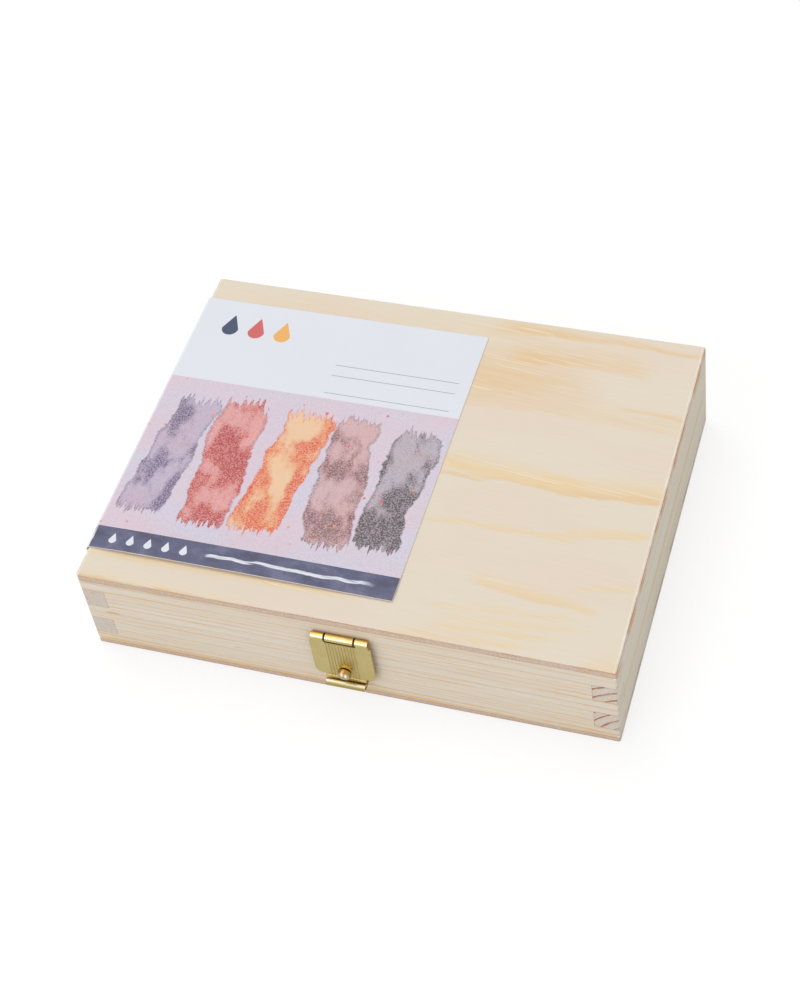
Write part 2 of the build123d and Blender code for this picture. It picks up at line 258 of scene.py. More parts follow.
def finish_material(shader, colour, rough, height, depth, rounding=0, gloss=0.5, metal=0, samples=4):
    """Gives a Principled shader its looks; depth of the relief and rounding of edges are in mm."""
    looks = {"Base Color": colour, "Roughness": rough, "Specular IOR Level": gloss, "Metallic": metal}
    for name, value in looks.items():
        give(shader.inputs[name], value)
    relief = wired("ShaderNodeBump", {"Height": height, "Distance": depth * mm})
    if rounding:
        give(relief.inputs["Normal"], rounded_normal(shader.id_data, rounding, samples))
    give(shader.inputs["Normal"], relief.outputs[0])


# Wood: depth of its relief and rounding of its edges, in millimetres, and its gloss
wood_relief = 0.03
wood_edge = 0.3
wood_gloss = 0.3


def make_pine_group():
    """Growth rings round a pith line along X, cut by whatever face the board has there.

    Lines is how strongly the lines drawn along the board show at each place."""
    tree, source, target = new_group(
        "Pine Figure",
        {"Place": None, "End Grain": 0.0, "Pith Y": 0.0, "Pith Z": 0.0, "Ring Gap": 2.5,
         "Strength": 1.0, "End Strength": 1.0, "Lines": 0.0,
         "Early": (1, 1, 1, 1), "Late": (1, 1, 1, 1),
         "End Early": (1, 1, 1, 1), "End Late": (1, 1, 1, 1)},
        {"Colour": "Color", "Roughness": "Float", "Height": "Float"})
    place = source["Place"]
    parts = split(place)
    wander = swing(place, (0.006, 0.03, 0.03), 1)
    ripple = swing(place, (0.03, 0.35, 0.35), 2)
    side = minus(parts[1], source["Pith Y"])
    rise = minus(parts[2], source["Pith Z"])
    radius = maths("SQRT", squares(side, rise))
    wavy_radius = plus(radius, times(wander, 5.0), times(ripple, 0.7))
    age = divided(wavy_radius, source["Ring Gap"])
    ring = maths("FLOOR", age)
    season = minus(age, ring)
    luck = wired("ShaderNodeTexWhiteNoise", {"W": ring}, noise_dimensions="1D").outputs[0]
    start = plus(0.45, times(luck, 0.3))
    strength = plus(0.35, times(luck, 0.65))
    patchy = between(cloud(place, (0.03, 0.5, 0.5), 3, detail=3), 0.3, 0.65, 0.55, 1.1)
    late = times(window(season, (start, 0.93), (0.93, 1.0)), strength, patchy)
    drawn = times(source["Lines"], patchy)
    face_late = larger(times(late, source["Strength"]), drawn)
    fibre = cloud(place, (0.12, 3.2, 3.2), 4, detail=3, rough=0.6)
    streak = cloud(place, (0.02, 1.1, 1.1), 8, detail=3, rough=0.6)
    broad = cloud(place, (0.012, 0.09, 0.09), 5)
    duct = between(cloud(place, (0.3, 4.5, 4.5), 6, detail=1), 0.68, 0.78)
    face = blend(face_late, source["Early"], source["Late"])
    face = blend(between(broad, 0.35, 0.7, 0, 0.12), face, source["Late"])
    face = blend(fading(streak, 0.3, 0.5, 0.3), face, shade(243, 236, 222))
    face = darkened(face, [between(fibre, 0.25, 0.75, low, 1.03) for low in (0.965, 0.955, 0.94)])
    face = blend(times(duct, 0.22), face, source["End Late"])
    pores = cloud(place, (1.6, 1.6, 1.6), 7, detail=4, rough=0.65)
    end_late = times(late, source["End Strength"])
    end = blend(end_late, source["End Early"], source["End Late"])
    end = blend(between(pores, 0.35, 0.75, 0, 0.28), end, source["End Late"])
    give(target["Colour"], blend(source["End Grain"], face, end))
    give(target["Roughness"], between(fibre, *noise_middle, 0.62, 0.74))
    give(target["Height"], plus(times(fibre, 0.6), times(late, 0.4)))
    return tree


def make_joint_group():
    """Thin dark lines where the fingers of two boards meet at the four corners."""
    tree, source, target = new_group("Finger Joint Lines", {"Place": None}, {"Mask": "Float"})
    parts = split(source["Place"])
    across = unsigned(parts[0])
    along = unsigned(parts[1])
    joint_x = case_half_x - board_thick
    joint_y = case_half_y - board_thick
    half_line = 0.16
    skin = 0.5

    def near(value, level):
        return fading(apart(value, level), half_line * 0.4, half_line)

    in_finger = plus(*[is_inside(parts[2], *span) for span in finger_spans])
    on_front = times(is_over(along, case_half_y - skin), in_finger)
    on_side = times(is_over(across, case_half_x - skin), minus(1, in_finger))
    shoulder = larger(times(near(across, joint_x), on_front), times(near(along, joint_y), on_side))
    levels = [near(parts[2], level) for span in finger_spans for level in span]
    cheeks = times(is_over(across, joint_x), is_over(along, joint_y), plus(*levels))
    give(target["Mask"], smaller(1, plus(shoulder, cheeks)))
    return tree


pine_group = make_pine_group()
joint_group = make_joint_group()


# Late-wood lines that stand out along the boards: height and half width in mm, and strength
front_lines = ((38.1, 0.45, 0.75), (33.9, 0.45, 0.95), (31.9, 0.4, 0.55), (29.9, 0.4, 0.7),
               (27.7, 0.45, 0.7), (25.0, 0.45, 0.9), (21.0, 0.45, 0.75), (17.9, 0.45, 0.95),
               (15.3, 0.4, 0.6), (12.3, 0.4, 0.65), (10.5, 0.4, 0.6), (9.1, 0.35, 0.55),
               (6.1, 0.65, 1.0), (4.3, 0.4, 0.6))
right_lines = ((35.0, 0.5, 0.2), (31.0, 1.6, 0.3), (24.4, 0.6, 0.2), (17.9, 1.9, 0.62), (8.2, 1.4, 0.25))
back_lines = ((35.4, 0.5, 0.5), (31.0, 0.45, 0.75), (25.8, 0.5, 0.6), (23.1, 0.35, 0.8),
              (16.2, 0.5, 0.8), (12.9, 0.4, 0.5), (9.3, 0.5, 0.7), (6.1, 0.4, 0.5))
left_lines = ((36.0, 0.4, 0.5), (32.4, 0.4, 0.4), (27.7, 0.5, 0.7), (22.8, 0.4, 0.5),
              (16.0, 0.5, 0.7), (11.1, 0.4, 0.45), (7.2, 0.5, 0.6))
# Resin spots seen at the front: X, height, half length, half width, strength
front_flecks = ((-90, 21.2, 3.8, 0.45, 0.85), (-42, 13.9, 2.2, 0.3, 0.5))
left_flecks = ((-99, 28, 0.5, 0.4, 0.7), (-96, 31.6, 1.3, 0.35, 0.5), (-93.5, 12.2, 0.9, 0.3, 0.35))


def pine_board(name, grain, pith, ring_gap, lines, drop, early, end_early, end_strength, flecks=()):
    """Pine with its grain along X or Y; pith is (sideways, height) of its centre line in mm.

    drop is how far the lines fall along the board, and where that begins and ends."""
    material, shader, place, normal = new_material(name)
    x, y, z = split(place)[:3]
    facing = split(normal)["XY".index(grain)]
    end_mask = between(unsigned(facing), *facing_range)
    turned = join(x, y, z) if grain == "X" else join(y, x, z)
    bend = swing(turned, (0.012, 0, 0.03), 9)
    quiver = swing(turned, (0.08, 0, 0.5), 10, detail=3)
    fallen = between(split(turned)[0], drop[1], drop[2], 0, drop[0])
    level = plus(z, fallen, times(bend, 1.6), times(quiver, 1.0))
    drawn = [times(strength, fading(apart(level, height), half * 0.15, half))
             for height, half, strength in lines]
    upright = between(unsigned(split(normal)[2]), 0.5, 0.9, 1, 0.15)
    wood = use_group(pine_group, {
        "Place": turned, "End Grain": end_mask, "Pith Y": pith[0], "Pith Z": pith[1],
        "Ring Gap": ring_gap, "Strength": 0.25, "End Strength": end_strength,
        "Lines": times(plus(*drawn), upright) if drawn else 0.2,
        "Early": early, "Late": shade(229, 185, 121),
        "End Early": end_early, "End Late": shade(172, 112, 68)})
    seams = use_group(joint_group, {"Place": place})[0]
    colour = blend(times(seams, 0.35), wood["Colour"], shade(150, 112, 82))
    for across, height, half_length, half_width, strength in flecks:
        sideways = divided(minus(x, across), half_length)
        upward = divided(minus(level, height), half_width)
        spot = times(fading(squares(sideways, upward), 0.3, 1, strength), is_under(y, 0))
        colour = blend(spot, colour, shade(216, 156, 84))
    # Painted shade greys the rounded corner at the front left and the one across from it
    at_end = between(unsigned(x), case_half_x - 0.6, case_half_x - 0.3, 0, 0.6)
    at_face = between(unsigned(y), case_half_y - 0.6, case_half_y - 0.3)
    corner_shade = times(at_end, at_face, is_over(times(x, y), 0))
    colour = blend(corner_shade, colour, shade(140, 134, 122))
    finish_material(shader, colour, wood["Roughness"], wood["Height"], wood_relief, wood_edge, wood_gloss)
    return material


def make_band_group():
    """One growth band of the veneer: a cut edge towards the front and a soft fade towards the back.

    Run is where the band starts and ends along X and how long its ends fade; Front and Width are
    the front edge's Y and the band's width at its start, middle and end."""
    tree, source, target = new_group(
        "Growth Band", {"Place": None, "Run": None, "Front": None, "Width": None, "Softness": 0.5},
        {"Mask": "Float"})
    parts = split(source["Place"])
    run = split(source["Run"])
    share = divided(minus(parts[0], run[0]), minus(run[1], run[0]))
    squared = times(share, share)
    at_start = plus(1, minus(times(squared, 2), times(share, 3)))
    at_middle = times(minus(share, squared), 4)
    at_end = minus(times(squared, 2), share)
    weights = join(at_start, at_middle, at_end)

    inside = minus(parts[1], dot(weights, source["Front"]))
    depth = divided(inside, larger(dot(weights, source["Width"]), 0.3))
    front_edge = between(inside, times(source["Softness"], -1), source["Softness"])
    along = window(parts[0], (run[0], plus(run[0], run[2])), (minus(run[1], run[2]), run[1]))
    give(target["Mask"], times(front_edge, fading(depth, 0.15, 1), along))
    return tree


band_group = make_band_group()

# The lid veneer's figure, with the last straw band a painted warm shadow before the card's front edge, in
# mm: run with fade, front edge, width, softness, strength
tan_bands = (
    ((4, 68, 12), (-7, -3.8, -5.3), (4, 2.8, 2.2), 0.4, 0.7),
    ((56, 112, 14), (-5.6, -4.6, -0.8), (3, 5.5, 6.5), 0.4, 0.85),
    ((-10, 82, 26), (27, 31, 31), (38, 33, 14), 1.2, 0.36),
    ((-14, 62, 30), (32, 38, 42), (44, 40, 30), 6, 0.36),
    ((4, 66, 12), (40, 44, 46), (30, 30, 24), 7, 0.22),
    ((22, 88, 14), (53, 56, 54), (13, 16, 14), 1.2, 0.54),
    ((14, 112, 16), (68, 70.2, 68.5), (12, 6, 2.5), 0.6, 0.75),
    ((72, 112, 8), (38.6, 37.7, 35), (2, 3, 4), 0.4, 0.55),
    ((62, 116, 16), (30, 30, 28), (12, 14, 15), 2.5, 0.36),
    ((-90, 50, 20), (63, 65, 66), (14, 13, 12), 1.2, 0.2),
    ((38, 90, 9), (-50, -53, -54.5), (3, 2.6, 1), 0.6, 0.4),
    ((-110, -44, 12), (-77.6, -77.5, -77.4), (2, 1.8, 1.2), 0.2, 0.9),
)
straw_bands_and_card_shadow = (
    ((2, 76, 14), (0.6, -3, -5), (9, 12.5, 9), 0.5, 0.88),
    ((48, 112, 16), (-3, -3, 1), (9, 12, 13), 0.6, 0.8),
    ((0, 78, 10), (-28.4, -25.8, -26.6), (3.5, 4, 4.2), 0.5, 0.75),
    ((60, 112, 12), (-26, -21, -19.5), (3, 5.5, 3.4), 0.5, 0.75),
    ((38, 92, 9), (-49.6, -52.4, -54.6), (5, 7.4, 1.4), 0.7, 0.66),
    ((73, 110, 10), (-49.5, -43.4, -42.5), (1.5, 4, 3), 0.5, 0.6),
    ((22, 88, 14), (-62.5, -61, -58), (1.6, 4.6, 3), 0.9, 0.5),
    ((28, 90, 12), (-66.5, -65.5, -62), (1.6, 4.6, 3), 0.9, 0.55),
    ((26, 84, 14), (-71, -70, -68), (2, 5, 3), 0.9, 0.6),
    ((12, 76, 16), (-77, -75.5, -73), (4, 5.5, 3), 0.9, 0.6),
    ((84, 108, 9), (-80, -79, -78), (4, 14, 18), 1.2, 0.5),
    ((-108, -46, 14), (61, 64, 67), (18, 15, 10), 1.0, 0.12),
    ((-108, -20, 26), (-79, -78, -78), (10, 7, 4), 1.5, 0.35),
    # Painted warm shadow on the veneer just before the card's curled front edge
    ((-116, 8, 16), (-66.8, -66.6, -66.2), (5, 5, 4), 0.6, 0.7),
)


def plywood(name, bottom, core_low, core_high, core_dip, end_tone, tan_places, straw_and_shadow_places):
    """Three-ply pine board from its underside's height up, both veneers along X, core along Y.

    core_low and core_high are the core's faces above the underside; core_dip is how much lower
    the core lies at the left end than from the middle on, as sanding cut the veneer unevenly."""
    material, shader, place, normal = new_material(name)
    parts = split(place)
    # The veneer's fibres lean a little to the board's length
    leaning = join(parts[0], plus(parts[1], times(parts[0], 0.1)), parts[2])
    sway = swing(place, (0.05, 0.05, 0), 11)
    flutter = swing(leaning, (0.07, 0.9, 0), 12, detail=4, rough=0.6)
    shift = plus(times(sway, 4), times(flutter, 3.4))
    bent = join(parts[0], plus(parts[1], shift), parts[2])
    fibre = cloud(leaning, (0.05, 1.5, 1.5), 13, detail=4, rough=0.6)
    breakup = between(cloud(leaning, (0.025, 0.7, 0.7), 14, detail=4, rough=0.6), 0.3, 0.62, 0.68, 1.15)
    dashes = between(cloud(leaning, (0.045, 2.3, 0), 15, detail=1), 0.63, 0.68)
    broad = between(cloud(place, (0.014, 0.035, 0.035), 16), 0.4, 0.62)

    def figure(places):
        """The bands at these places broken up by the fibres, or broad clouds without any."""
        found = []
        for run, front, width, softness, strength in places:
            band = use_group(band_group, {
                "Place": bent, "Run": run, "Front": front, "Width": width, "Softness": softness})
            found.append(times(band[0], strength))
        return smaller(times(plus(*found), breakup) if found else broad, 1)

    straw_and_shadow = figure(straw_and_shadow_places)
    warm = figure(tan_places)
    veneer = blend(broad, shade(229, 218, 200), shade(230, 215, 198))
    veneer = blend(straw_and_shadow, veneer, shade(234, 210, 169))
    veneer = blend(warm, veneer, shade(230, 200, 157))
    facing = split(normal)
    stained = smaller(plus(straw_and_shadow, warm), 1)
    stained = times(stained, between(facing[2], *facing_range))
    veneer = blend(times(dashes, stained, 0.8), veneer, shade(242, 232, 216))
    veneer = darkened(veneer, [between(fibre, 0.25, 0.75, low, 1.015) for low in (0.985, 0.98, 0.965)])

    toward_x = between(unsigned(facing[0]), *facing_range)
    toward_y = between(unsigned(facing[1]), *facing_range)
    # End grain of the veneers, torn along the saw cut and more so at the right end
    tear = cloud(place, (0.05, 0.08, 0.1), 17, detail=5, rough=0.6)
    torn = times(between(tear, 0.45, 0.57), between(parts[0], -1, 1, 0.6, 0.95))
    veneer_end = blend(torn, shade(222, 212, 198), end_tone)
    veneer = blend(times(toward_x, 0.9), veneer, veneer_end)
    wander = swing(place, (0, 0.11, 0), 21, detail=4)
    across = unsigned(parts[0])
    inset = plus(minus(case_half_x - 0.55, across), times(wander, 1.1))
    splinter = times(fading(unsigned(inset), 0.05, 0.22, 0.4),
                     between(tear, 0.38, 0.5), between(facing[2], 0.5, 0.8))
    # Painted highlight along the eased arris at each end of the veneer
    arris_highlight = between(across, case_half_x - 1.3, case_half_x - 0.7)
    arris_highlight = times(arris_highlight, minus(1, toward_x))
    veneer = blend(arris_highlight, veneer, shade(240, 232, 218))
    veneer = blend(splinter, veneer, shade(206, 148, 92))
    pores = cloud(place, (2.2, 2.2, 3.5), 18, detail=3, rough=0.65)
    core_end = blend(between(pores, 0.35, 0.68), shade(220, 202, 186), shade(198, 170, 150))
    core_fibre = cloud(place, (2, 0.06, 1.6), 19, detail=3)
    core_side = blend(core_fibre, shade(224, 215, 200), shade(212, 196, 176))
    above = minus(parts[2], bottom)
    stain = between(plus(above, times(wander, 2.4)), 1.2, 2.8, 0, 0.75)
    core_side = blend(times(torn, stain), core_side, end_tone)
    core = blend(toward_y, core_side, core_end)
    dip = fading(parts[0], case_low.x, -10, core_dip)
    ragged = swing(place, (0.5, 0.5, 0), 20, detail=4)
    level = plus(above, dip, times(ragged, 0.3))
    from_middle = apart(level, (core_low + core_high) / 2)
    core_half = (core_high - core_low) / 2
    in_core = fading(from_middle, core_half - 0.06, core_half + 0.06)
    glue_gap = apart(from_middle, core_half)
    glue = times(fading(glue_gap, 0.05, 0.3, 0.85), between(tear, 0.36, 0.56, 0.45, 1))
    colour = blend(in_core, veneer, core)
    colour = blend(glue, colour, shade(200, 144, 98))
    # Painted shade darkens the arris that the box stands on
    bottom_arris_shade = between(parts[2], 0.4, 1.7, 0.84, 1)
    colour = darkened(colour, (bottom_arris_shade, bottom_arris_shade, bottom_arris_shade))
    rough = between(fibre, *noise_middle, 0.58, 0.7)
    height = plus(times(fibre, 0.7), times(pores, in_core, 0.8))
    finish_material(shader, colour, rough, height, wood_relief, wood_edge, wood_gloss)
    return material


# Brass tones, painted highlights and shade: how squarely a face looks outward, and its colour. Flat parts
# look duller than rolled
squarely_lit = ((0.55, (236, 214, 156)), (0.74, (252, 243, 214)), (0.86, (228, 212, 162)),
                (0.95, (197, 183, 128)), (0.99, (195, 181, 127)))
sheet_painted_light = ((-0.95, (195, 181, 127)), (-0.6, (206, 166, 84)), (-0.1, (222, 186, 106)),
               (0.3, (226, 196, 122)), *squarely_lit)
hinge_painted_light = ((-0.95, (195, 181, 127)), (-0.4, (200, 184, 134)), (0.3, (216, 200, 148)),
               *squarely_lit)
lip_painted_light = ((-0.95, (188, 172, 118)), (-0.6, (190, 142, 70)), (-0.2, (236, 196, 112)),
             (0.08, (255, 252, 232)), (0.34, (255, 252, 230)), (0.5, (200, 192, 158)),
             (0.66, (156, 146, 104)), (0.85, (152, 138, 90)), (0.97, (166, 148, 98)))
collar_painted_light = ((-0.5, (236, 180, 76)), (0.2, (255, 226, 120)), (0.7, (255, 244, 196)))
# The knob's two painted highlights, how far out of the front its neck lies, painted dark as shade, and
# where its head begins
knob_highlights = ((0.75, 18.9), (2.15, 18.3))
neck_rise = (3.55, 3.75)
neck_fall = (4.35, 4.65)
head_out = (4.2, 4.4)
# The hasp hinge's middle knuckle: its centre, half its width, and the slot below it
knuckle_x = 0.6
knuckle_half = 5.35
slot_z = 32.2
# Where the hasp's plate begins to curl into its tongue
tongue_top = 12.4
# Heights between which painted shade browns the lid's leaf, where it runs into its knuckle
root_rise = (31.0, 31.6)
root_fall = (32.9, 33.3)
# How strongly painted shade darkens the slot and gaps, how strongly painted shade browns the cut edges,
# and how wide that looks
slot_shade_share = 0.85
edge_shade_share = 0.55
edge_shade_width = 0.24


def brass(name, outward, painted_light_tones, rough_low, rough_high, rounding, dull_below=0):
    """Lacquered brass, dull where it is flat, with highlights and shade painted on its rolled parts by
    how they face.

    outward is -1 for pieces that face the front and 1 for those that face the back. dull_below
    is the height up to which a plain dull tone covers the painted highlights, even on rolled parts."""
    material, shader, place, normal = new_material(name)
    tree = material.node_tree
    blotch = cloud(place, (0.35, 0.35, 0.35), 31, detail=3)
    fine = cloud(place, (3, 12, 9), 32, detail=2)
    turned = times(split(normal)[1], outward)
    # Painted highlights and shade: the colour follows how squarely each face looks outward
    colour = graded(turned, painted_light_tones)
    parts = split(place)
    # Below dull_below a plain dull tone takes the place of the painted highlights
    dull = fading(parts[2], dull_below - 0.3, dull_below + 0.3, 0.88)
    colour = blend(dull, colour, shade(176, 152, 88))
    # Painted shade browns the cut edges: a cut edge is where a widely rounded normal turns away from the
    # face's own
    flat = add(tree, "ShaderNodeNewGeometry").outputs["Normal"]
    edge = fading(dot(flat, rounded_normal(tree, edge_shade_width)), 0.82, 0.97, edge_shade_share)
    colour = blend(edge, colour, shade(140, 98, 48))
    # Painted shade where the lid's leaf runs into its knuckle
    out = minus(case_low.y, parts[1])
    root_shade = times(window(parts[2], root_rise, root_fall), fading(out, 1.2, 1.7, 0.8))
    # Painted shade in the slot below the middle knuckle and in the gaps at its ends
    from_middle = apart(parts[0], knuckle_x)
    slot_shade = fading(apart(parts[2], slot_z), 0.12, 0.26, slot_shade_share)
    slot_shade = times(slot_shade, is_under(from_middle, knuckle_half + 0.4))
    gap_shade = apart(from_middle, knuckle_half + 0.2)
    gap_shade = times(fading(gap_shade, 0.3, 0.5, slot_shade_share), is_over(parts[2], slot_z))
    colour = blend(larger(slot_shade, gap_shade, root_shade), colour, shade(58, 38, 20))
    colour = blend(between(blotch, 0.4, 0.75, 0, 0.16), colour, shade(205, 170, 92))
    rough = between(blotch, *noise_middle, rough_low, rough_high)
    rough = plus(rough, between(turned, 0.9, 0.99, 0, 0.14))
    finish_material(shader, colour, rough, fine, 0.01, rounding, metal=1, samples=6)
    return material


def knob_brass():
    """Turned brass: collar with painted highlights, neck painted dark as shade, and a greyer head with
    two painted highlights.
    """
    material = brass("Brass, knob", -1, collar_painted_light, 0.2, 0.3, 0.1)
    tree = material.node_tree
    shader = tree.nodes["Principled BSDF"]
    collar = shader.inputs["Base Color"].links[0].from_socket
    parts = split(on_object(tree)[0])
    out = minus(case_low.y, parts[1])
    head = blend(between(parts[2], 18.6, 20.2), shade(176, 160, 112), shade(186, 132, 58))
    # Two painted highlights on the head
    for x, z in knob_highlights:
        aside = times(minus(parts[0], x), 2)
        rise = minus(parts[2], z)
        away = maths("SQRT", squares(aside, rise))
        head = blend(fading(away, 0.3, 1.4), head, shade(255, 250, 232))
    colour = blend(between(out, *head_out), collar, head)
    # The neck is painted dark as shade
    colour = blend(window(out, neck_rise, neck_fall), colour, shade(52, 34, 18))
    give(shader.inputs["Base Color"], colour)
    return material


def tarnished_and_shaded_brass():
    """The hasp's pin, tarnished brown and painted dark all over as shade for the gaps between the
    knuckles.
    """
    material, shader, place, _ = new_material("Brass, tarnished and shaded")
    blotch = cloud(place, (0.6, 0.6, 0.6), 33, detail=3)
    colour = blend(blotch, shade(44, 29, 16), shade(76, 50, 27))
    finish_material(shader, colour, between(blotch, *noise_middle, 0.5, 0.6), blotch, 0.01, metal=0.7)
    return material


# Printed card: radius of its fold, and where the parts of its print lie on the lid
card_low, card_high = (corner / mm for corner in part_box("label_card"))
card_fold = 1.8
picture_low = -54
picture_high = 22
rule_heights = (39.3, 33.9, 24.9)
rule_ends = (-38, 12)
paper_white = shade(223, 226, 233)
slate_grey = shade(112, 124, 156)
foot_white = shade(226, 228, 236)
# Drops in the head: X and colour. Along the foot: five small drops and a stroke with ragged ends
head_drops = ((-86, (46, 61, 92)), (-75, (206, 92, 92)), (-64, (236, 176, 92)))
head_drop_y = 50
foot_drops = [-92 + 7 * step for step in range(5)]
foot_drop_y = -59.8
stroke_y = -59.2
stroke_rise = (-56, -54)
stroke_fall = (2, 10)
# Brushed patches of colour: X, half width, half height, lean, thin colour and thick colour
brushed_patches = (
    (-86, 9.0, 28, 0.10, (176, 154, 180), (104, 88, 124)),
    (-64, 9.5, 30, -0.05, (232, 118, 84), (176, 48, 42)),
    (-41, 9.5, 29, 0.08, (250, 192, 86), (220, 84, 34)),
    (-18, 9.5, 30, -0.08, (206, 148, 138), (130, 88, 88)),
    (4, 8.5, 28, 0.05, (160, 146, 150), (70, 58, 62)),
)


def make_patch_group():
    """One brushed patch of watercolour: wavy outline, dark wet rim, settled grain, fading down."""
    tree, source, target = new_group(
        "Brushed Patch",
        {"Place": None, "X": 0.0, "Y": 0.0, "Half Width": 8.0, "Half Height": 20.0, "Lean": 0.0},
        {"Amount": "Float", "Pool": "Float"})
    place = source["Place"]
    parts = split(place)
    down = minus(parts[1], source["Y"])
    bend = swing(place, (0.06, 0.06, 0), 41)
    shiver = swing(place, (0.5, 0.5, 0), 42, detail=4)
    bristle = swing(place, (0.8, 0.03, 0), 43, detail=3)
    side = minus(minus(parts[0], source["X"]), times(down, source["Lean"]))
    side = plus(side, times(bend, 9), times(shiver, 2.5))
    length = plus(down, times(bristle, 16), times(shiver, 4))
    corner = 4
    beyond = []
    for value, half in ((side, "Half Width"), (length, "Half Height")):
        past = minus(unsigned(value), source[half])
        beyond.append(larger(plus(past, corner), 0))
    outline = minus(maths("SQRT", squares(*beyond)), corner)
    body = fading(outline, -0.5, 0.3)
    rim = between(outline, -2.0, -0.4)
    grain = cloud(place, (1.6, 1.6, 0), 44, detail=5, rough=0.7)
    grain = between(grain, 0.34, 0.66, 0.55, 1.2)
    # Colour runs down and gathers in the lower part
    gather = times(divided(down, source["Half Height"]), -0.07)
    pool = plus(cloud(place, (0.11, 0.06, 0), 45, detail=4), gather)
    pool = between(pool, 0.38, 0.6)
    give(target["Pool"], times(larger(pool, rim), grain))
    amount = times(between(pool, 0, 1, 0.66, 1), grain, body)
    give(target["Amount"], smaller(amount, 1))
    return tree


def make_drop_group():
    """A solid drop of paint, round below and pointed above."""
    tree, source, target = new_group(
        "Printed Drop", {"Place": None, "X": 0.0, "Y": 0.0, "Size": 3.0}, {"Mask": "Float"})
    parts = split(source["Place"])
    side = divided(minus(parts[0], source["X"]), source["Size"])
    rise = divided(minus(parts[1], source["Y"]), source["Size"])
    upper = divided(larger(rise, 0), 2.2)
    width = larger(minus(1, upper), 0.02)
    side = divided(side, width)
    lower = smaller(rise, 0)
    edge = fading(squares(side, lower), 0.9, 1.1)
    give(target["Mask"], times(edge, is_under(rise, 2.1)))
    return tree


def printed_card():
    """Offset-printed card: white head, picture of brushed colours, slate band along the foot."""
    material, shader, place, _ = new_material("Card, printed")
    patch_group = make_patch_group()
    drop_group = make_drop_group()
    parts = split(place)
    # The flap goes on from the fold as if the card were still flat
    folded = larger(minus(card_high.z - 1, parts[2]), 0)
    flat = join(minus(parts[0], folded), parts[1], 0)

    wash = cloud(flat, (0.035, 0.05, 0), 51, detail=3)
    speck = cloud(flat, (1.7, 1.7, 0), 52, detail=5, rough=0.75)
    sky = blend(between(wash, 0.35, 0.65), shade(212, 207, 221), shade(220, 202, 212))
    sky = blend(between(speck, 0.42, 0.62, 0, 0.55), sky, shade(198, 182, 202))
    picture = sky
    picture_y = (picture_low + picture_high) / 2
    for x, half_width, half_height, lean, thin, deep in brushed_patches:
        patch = use_group(patch_group, {
            "Place": flat, "X": x, "Y": picture_y,
            "Half Width": half_width, "Half Height": half_height, "Lean": lean})
        picture = blend(patch[0], picture, blend(patch[1], shade(*thin), shade(*deep)))
    spatter = wired("ShaderNodeTexVoronoi", {"Vector": flat, "Scale": 0.3})
    chance = split(spatter.outputs["Color"])
    dot_size = times(maths("POWER", chance[0], 5), 0.24)
    dotted = is_under(spatter.outputs["Distance"], dot_size)
    dot_tone = blend(is_over(chance[1], 0.5), shade(216, 92, 88), shade(232, 150, 80))
    picture = blend(times(dotted, 0.75), picture, dot_tone)

    head = blend(between(wash, *noise_middle), paper_white, shade(224, 227, 235))
    for x, tone in head_drops:
        drop = use_group(drop_group, {"Place": flat, "X": x, "Y": head_drop_y, "Size": 3.4})
        head = blend(drop[0], head, shade(*tone))
    rules = plus(*[fading(apart(parts[1], height), 0.1, 0.2) for height in rule_heights])
    rules = times(is_inside(parts[0], *rule_ends), rules, 0.75)
    head = blend(rules, head, slate_grey)
    slate = cloud(flat, (0.09, 0.12, 0), 53, detail=5, rough=0.6)
    foot = graded(slate, ((0.32, (68, 66, 92)), (0.48, (84, 88, 120)), (0.66, (112, 110, 140))))
    foot = blend(between(speck, 0.4, 0.65, 0, 0.5), foot, shade(72, 70, 98))
    for x in foot_drops:
        drop = use_group(drop_group, {"Place": flat, "X": x, "Y": foot_drop_y, "Size": 1.5})
        foot = blend(drop[0], foot, foot_white)
    sway = swing(flat, (0.12, 0, 0), 56)
    stroke = plus(minus(parts[1], stroke_y), times(sway, 3))
    bristles = between(cloud(flat, (0.1, 3, 0), 57, detail=3), 0.3, 0.5)
    stroke_length = window(parts[0], stroke_rise, stroke_fall)
    stroke = times(fading(unsigned(stroke), 0.5, 0.9), bristles, stroke_length)
    foot = blend(stroke, foot, foot_white)

    printed = blend(is_over(parts[1], picture_high), picture, head)
    printed = blend(is_under(parts[1], picture_low), printed, foot)
    # The print ends at the fold, where the paper has cracked white
    ragged = swing(place, (0, 0.25, 0), 58, detail=3)
    from_fold = minus(parts[0], card_low.x)
    crack = fading(plus(from_fold, ragged), 1.2, 1.5, 0.95)
    crack = times(crack, between(parts[1], picture_low - 6, picture_low, 1, 0.5))
    # The flap below the fold is unprinted paper
    flap_top = card_high.z - card_fold
    on_flap = fading(parts[2], flap_top - 1.5, flap_top - 0.3)
    printed = blend(larger(crack, on_flap), printed, shade(240, 241, 244))
    # Painted shade along the outer side of the fold, where the card turns away
    fold_shade = times(fading(from_fold, 0.12, 0.6, 0.55), minus(1, on_flap))
    printed = blend(fold_shade, printed, shade(142, 152, 172))
    paper = cloud(place, (1.2, 1.2, 1.2), 54, detail=3)
    rough = between(paper, *noise_middle, 0.4, 0.5)
    finish_material(shader, printed, rough, paper, 0.012)
    return material


def plain_card():
    """The uncoated back and the cut edges of the card."""
    material, shader, place, _ = new_material("Card, bare")
    fibres = cloud(place, (1.5, 1.5, 1.5), 55, detail=4)
    colour = blend(between(fibres, *noise_middle), shade(248, 245, 244), shade(240, 237, 236))
    finish_material(shader, colour, between(fibres, *noise_middle, 0.75, 0.85), fibres, 0.03)
    return material


def new_object(name, data):
    """An object of this mesh, lamp or camera, in the scene."""
    made = bpy.data.objects.new(name, data)
    bpy.context.scene.collection.objects.link(made)
    return made


